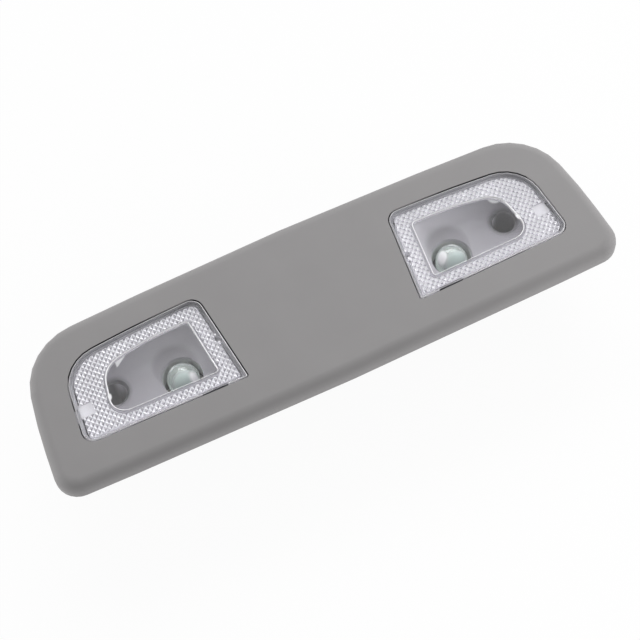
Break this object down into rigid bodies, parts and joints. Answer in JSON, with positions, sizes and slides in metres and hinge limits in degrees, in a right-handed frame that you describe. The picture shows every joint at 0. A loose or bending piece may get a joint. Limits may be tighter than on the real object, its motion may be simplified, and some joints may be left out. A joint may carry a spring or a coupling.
{
  "type": "twin car ceiling reading lamp",
  "caption": "Twin ceiling reading lamp for a car: long grey bezel with clear prism-edged lenses that are pressed to switch, over bulbs in a rear carrier.",
  "frame": {"origin": "on the flat back of the carrier, below the middle of the bezel", "axes": "+X along the length, +Y from the longer front edge to the rear edge, +Z out of the visible face"},
  "size_m": [0.189, 0.0561, 0.034],
  "materials": {
    "bezel_plastic": "fine grain, matt",
    "carrier_plastic": "moulded, satin",
    "lens_clear": "clear moulded plastic with a prism ring",
    "reflector_silver": "smooth, silver grey",
    "bulb_clear": "clear glass",
    "tungsten": "fine wire",
    "holder_plastic": "moulded",
    "contact_brass": "stamped brass strip",
    "switch_black": "moulded",
    "plunger_plastic": "moulded",
    "spring_steel": "drawn wire",
    "connector_black": "moulded",
    "screw_steel": "plated"
  },
  "bodies": {
    "housing": {"bezel": "bezel_plastic", "carrier": "carrier_plastic", "reflector_right": "reflector_silver", "reflector_left": "reflector_silver", "bulb_glass_right": "bulb_clear", "bulb_glass_left": "bulb_clear", "filament_right": "tungsten", "filament_left": "tungsten", "bulb_holder_right": "holder_plastic", "bulb_holder_left": "holder_plastic", "bulb_contacts_right": "contact_brass", "bulb_contacts_left": "contact_brass", "switch_base_right": "switch_black", "switch_base_left": "switch_black", "switch_cap_right": "switch_black", "switch_cap_left": "switch_black", "switch_spring_right": "spring_steel", "switch_spring_left": "spring_steel", "strip_switched_right": "contact_brass", "strip_switched_left": "contact_brass", "strip_feed": "contact_brass", "strip_ground": "contact_brass", "connector_pins": "contact_brass", "connector_shroud": "connector_black", "carrier_screws": "screw_steel"},
    "lens_right": {"lens_right": "lens_clear"},
    "lens_left": {"lens_left": "lens_clear"},
    "plunger_right": {"switch_plunger_right": "plunger_plastic"},
    "plunger_left": {"switch_plunger_left": "plunger_plastic"}
  },
  "joints": [
    {"name": "lens_right_press", "type": "hinge", "parent": "housing", "child": "lens_right", "pos_m": [0.084, -0.0028, 0.0296], "axis": [0, -1, 0], "range_deg": [0, 1.3], "stiffness_Nm_per_rad": 3, "springref_deg": -1.72},
    {"name": "plunger_right_slide", "type": "slide", "parent": "housing", "child": "plunger_right", "axis": [0, 0, -1], "range_m": [0, 0.0012], "deforming": ["switch_spring_right"]},
    {"name": "lens_left_press", "type": "hinge", "parent": "housing", "child": "lens_left", "pos_m": [-0.084, -0.0028, 0.0296], "axis": [0, 1, 0], "range_deg": [0, 1.3], "stiffness_Nm_per_rad": 3, "springref_deg": -1.72},
    {"name": "plunger_left_slide", "type": "slide", "parent": "housing", "child": "plunger_left", "axis": [0, 0, -1], "range_m": [0, 0.0012], "deforming": ["switch_spring_left"]}
  ],
  "couplings": [
    {"joint": "plunger_right_slide", "follows": "lens_right_press", "m_per_rad": 0.0517},
    {"joint": "plunger_left_slide", "follows": "lens_left_press", "m_per_rad": 0.0517}
  ]
}
